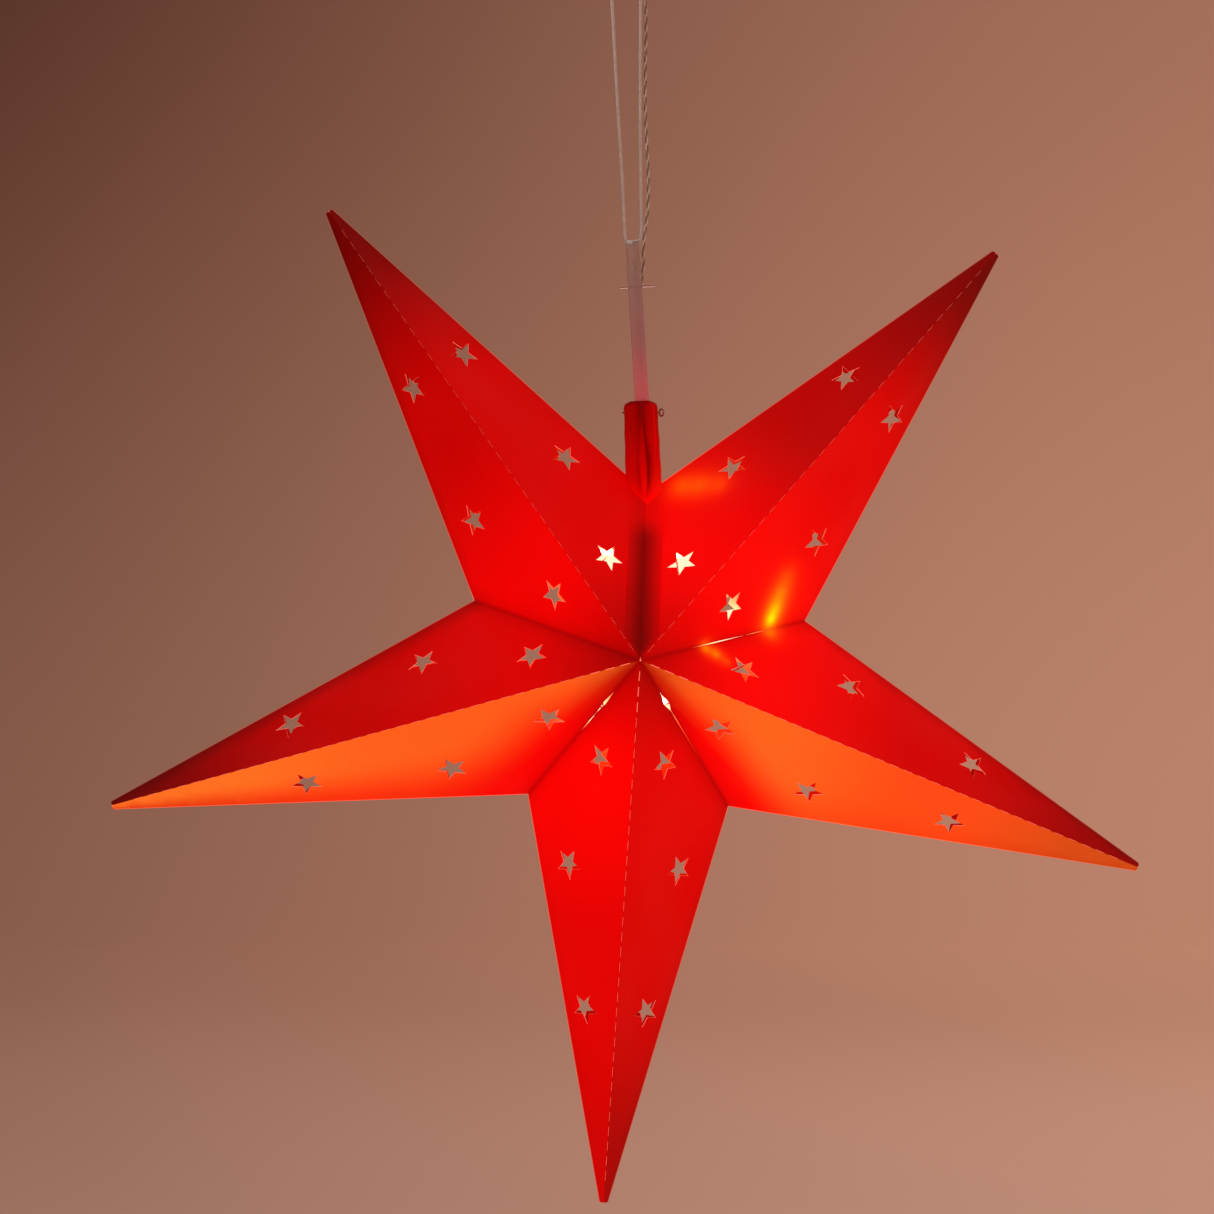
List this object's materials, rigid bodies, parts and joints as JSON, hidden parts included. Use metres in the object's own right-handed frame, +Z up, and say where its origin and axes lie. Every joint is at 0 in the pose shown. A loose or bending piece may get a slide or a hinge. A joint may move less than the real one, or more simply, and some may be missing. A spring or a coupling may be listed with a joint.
{
  "type": "hanging star lantern",
  "caption": "Hanging folded five-pointed star lantern of translucent red film with punched star holes, a closure neck, a hanging cord and an inner LED string.",
  "frame": {"origin": "inside of the hanging cord's top bend, where a hook holds it", "axes": "+Z up, front of the star faces -Y, +X to the right seen from the front"},
  "size_m": [0.5678, 0.1476, 0.754],
  "materials": {
    "film": "translucent red plastic-coated paper, satin, lit from inside",
    "clear_pvc": "clear soft PVC band, faintly pink",
    "clear_cord": "clear nylon cord, silvery",
    "lead_wire": "two thin wires in clear insulation, twisted together",
    "black_sleeve": "black heat-shrink sleeve",
    "steel_wire": "dark steel wire",
    "led_epoxy": "warm white LED domes",
    "box_plastic": "off-white moulded plastic",
    "cell_jacket": "printed metal jacket with no print",
    "contact_metal": "nickel-plated spring steel",
    "slider_plastic": "black moulded plastic"
  },
  "bodies": {
    "hanger": {"hanging_cord": "clear_cord", "cord_knot": "clear_cord", "lead_upper": "lead_wire", "battery_box": "box_plastic", "battery_cells": "cell_jacket", "battery_contacts": "contact_metal"},
    "battery_door": {"battery_door": "box_plastic"},
    "switch_slider": {"switch_slider": "slider_plastic"},
    "closure_pin": {"closure_pin": "steel_wire"},
    "star": {"point_2_front_left": "film", "closure_hem_2_front": "film", "neck_right_leaf": "film", "hanging_strap": "clear_pvc", "strap_pin": "clear_pvc", "lead_lower": "lead_wire", "lead_sleeve": "black_sleeve", "led_wire": "lead_wire", "led_bulbs": "led_epoxy"},
    "panel_2_front_right": {"point_2_front_right": "film"},
    "panel_2_back_left": {"point_2_back_left": "film", "closure_hem_2_back": "film"},
    "panel_2_back_right": {"point_2_back_right": "film"},
    "panel_3_front_left": {"point_3_front_left": "film"},
    "panel_3_front_right": {"point_3_front_right": "film"},
    "panel_3_back_left": {"point_3_back_left": "film"},
    "panel_3_back_right": {"point_3_back_right": "film"},
    "panel_4_front_left": {"point_4_front_left": "film"},
    "panel_4_front_right": {"point_4_front_right": "film"},
    "panel_4_back_left": {"point_4_back_left": "film"},
    "panel_4_back_right": {"point_4_back_right": "film"},
    "panel_5_front_left": {"point_5_front_left": "film"},
    "panel_5_front_right": {"point_5_front_right": "film"},
    "panel_5_back_left": {"point_5_back_left": "film"},
    "panel_5_back_right": {"point_5_back_right": "film"},
    "panel_1_front_left": {"point_1_front_left": "film"},
    "panel_1_front_right": {"point_1_front_right": "film", "closure_hem_1_front": "film", "neck_left_leaf": "film"},
    "panel_1_back_left": {"point_1_back_left": "film"},
    "panel_1_back_right": {"point_1_back_right": "film", "closure_hem_1_back": "film"}
  },
  "joints": [
    {"name": "strap_swing", "type": "hinge", "parent": "hanger", "child": "star", "pos_m": [0.0056, 0, -0.22555], "axis": [1, 0, 0], "range_deg": [-60, 60]},
    {"name": "ridge_2_fold", "type": "hinge", "parent": "star", "child": "panel_2_front_right", "pos_m": [0.00769, -0.07432, -0.45237], "axis": [0.644, 0.2352, 0.728], "range_deg": [0, 88], "deforming": ["led_wire", "led_bulbs"]},
    {"name": "side_2_left_fold", "type": "hinge", "parent": "star", "child": "panel_2_back_left", "pos_m": [0.01779, 0, -0.35717], "axis": [0.8186, 0, 0.5743], "range_deg": [0, 85.59]},
    {"name": "side_2_right_fold", "type": "hinge", "parent": "panel_2_front_right", "child": "panel_2_back_right", "pos_m": [0.10095, 0, -0.43074], "axis": [-0.4703, 0, -0.8825], "range_deg": [0, 85.59]},
    {"name": "valley_2_3_fold", "type": "hinge", "parent": "panel_2_front_right", "child": "panel_3_front_left", "pos_m": [0.0078, -0.075, -0.45225], "axis": [-0.7666, -0.6172, -0.177], "range_deg": [0, 119.51]},
    {"name": "ridge_3_fold", "type": "hinge", "parent": "panel_3_front_left", "child": "panel_3_front_right", "pos_m": [0.00765, -0.07432, -0.45219], "axis": [0.898, 0.2352, -0.372], "range_deg": [0, 88.05]},
    {"name": "side_3_left_fold", "type": "hinge", "parent": "panel_3_front_left", "child": "panel_3_back_left", "pos_m": [0.10095, 0, -0.43074], "axis": [0.8096, 0, -0.587], "range_deg": [0, 85.59]},
    {"name": "side_3_right_fold", "type": "hinge", "parent": "panel_3_front_right", "child": "panel_3_back_right", "pos_m": [0.05846, 0, -0.53332], "axis": [-0.9875, 0, 0.1573], "range_deg": [0, 85.59]},
    {"name": "valley_3_4_fold", "type": "hinge", "parent": "panel_3_front_right", "child": "panel_4_front_left", "pos_m": [0.0078, -0.075, -0.45225], "axis": [-0.4169, -0.6172, 0.6672], "range_deg": [0, 119.51]},
    {"name": "ridge_4_fold", "type": "hinge", "parent": "panel_4_front_left", "child": "panel_4_front_right", "pos_m": [0.00781, -0.07432, -0.45209], "axis": [-0.0593, 0.2352, -0.9701], "range_deg": [0, 88.05]},
    {"name": "side_4_left_fold", "type": "hinge", "parent": "panel_4_front_left", "child": "panel_4_back_left", "pos_m": [0.05846, 0, -0.53332], "axis": [-0.2915, 0, -0.9566], "range_deg": [0, 85.59]},
    {"name": "side_4_right_fold", "type": "hinge", "parent": "panel_4_front_right", "child": "panel_4_back_right", "pos_m": [-0.05236, 0, -0.52655], "axis": [-0.1727, 0, 0.985], "range_deg": [0, 85.59]},
    {"name": "valley_4_5_fold", "type": "hinge", "parent": "panel_4_front_right", "child": "panel_5_front_left", "pos_m": [0.0078, -0.075, -0.45225], "axis": [0.4951, -0.6172, 0.6114], "range_deg": [0, 119.51]},
    {"name": "ridge_5_fold", "type": "hinge", "parent": "panel_5_front_left", "child": "panel_5_front_right", "pos_m": [0.00796, -0.07432, -0.45221], "axis": [-0.9366, 0.2352, -0.2597], "range_deg": [0, 88.05]},
    {"name": "side_5_left_fold", "type": "hinge", "parent": "panel_5_front_left", "child": "panel_5_back_left", "pos_m": [-0.05236, 0, -0.52655], "axis": [-0.9994, 0, -0.0358], "range_deg": [0, 85.59]},
    {"name": "side_5_right_fold", "type": "hinge", "parent": "panel_5_front_right", "child": "panel_5_back_right", "pos_m": [-0.08203, 0, -0.41955], "axis": [0.8751, 0, 0.484], "range_deg": [0, 85.59]},
    {"name": "valley_5_1_fold", "type": "hinge", "parent": "panel_5_front_right", "child": "panel_1_front_left", "pos_m": [0.0078, -0.075, -0.45225], "axis": [0.7393, -0.6172, -0.2691], "range_deg": [0, 119.51]},
    {"name": "ridge_1_fold", "type": "hinge", "parent": "panel_1_front_left", "child": "panel_1_front_right", "pos_m": [0.00789, -0.07432, -0.45239], "axis": [-0.5505, 0.2352, 0.801], "range_deg": [0, 88.05]},
    {"name": "side_1_left_fold", "type": "hinge", "parent": "panel_1_front_left", "child": "panel_1_back_left", "pos_m": [-0.08203, 0, -0.41955], "axis": [-0.3592, 0, 0.9333], "range_deg": [0, 85.59]},
    {"name": "side_1_right_fold", "type": "hinge", "parent": "panel_1_front_right", "child": "panel_1_back_right", "pos_m": [0.00947, 0, -0.35667], "axis": [0.7425, 0, -0.6698], "range_deg": [0, 85.59]},
    {"name": "closure_pin_pull", "type": "slide", "parent": "star", "child": "closure_pin", "axis": [1, 0, 0], "range_m": [0, 0.023]},
    {"name": "battery_door_slide", "type": "slide", "parent": "hanger", "child": "battery_door", "axis": [0, 0, -1], "range_m": [0, 0.055]},
    {"name": "switch_slide", "type": "slide", "parent": "hanger", "child": "switch_slider", "axis": [0, 0, 1], "range_m": [0, 0.005]}
  ],
  "couplings": [
    {"joint": "side_2_left_fold", "follows": "ridge_2_fold", "ratio": 0.972},
    {"joint": "side_2_right_fold", "follows": "ridge_2_fold", "ratio": 0.972},
    {"joint": "valley_2_3_fold", "follows": "ridge_2_fold", "ratio": 1.3575},
    {"joint": "ridge_3_fold", "follows": "ridge_2_fold", "ratio": 1},
    {"joint": "side_3_left_fold", "follows": "ridge_2_fold", "ratio": 0.972},
    {"joint": "side_3_right_fold", "follows": "ridge_2_fold", "ratio": 0.972},
    {"joint": "valley_3_4_fold", "follows": "ridge_2_fold", "ratio": 1.3575},
    {"joint": "ridge_4_fold", "follows": "ridge_2_fold", "ratio": 1},
    {"joint": "side_4_left_fold", "follows": "ridge_2_fold", "ratio": 0.972},
    {"joint": "side_4_right_fold", "follows": "ridge_2_fold", "ratio": 0.972},
    {"joint": "valley_4_5_fold", "follows": "ridge_2_fold", "ratio": 1.3575},
    {"joint": "ridge_5_fold", "follows": "ridge_2_fold", "ratio": 1},
    {"joint": "side_5_left_fold", "follows": "ridge_2_fold", "ratio": 0.972},
    {"joint": "side_5_right_fold", "follows": "ridge_2_fold", "ratio": 0.972},
    {"joint": "valley_5_1_fold", "follows": "ridge_2_fold", "ratio": 1.3575},
    {"joint": "ridge_1_fold", "follows": "ridge_2_fold", "ratio": 1},
    {"joint": "side_1_left_fold", "follows": "ridge_2_fold", "ratio": 0.972},
    {"joint": "side_1_right_fold", "follows": "ridge_2_fold", "ratio": 0.972}
  ]
}
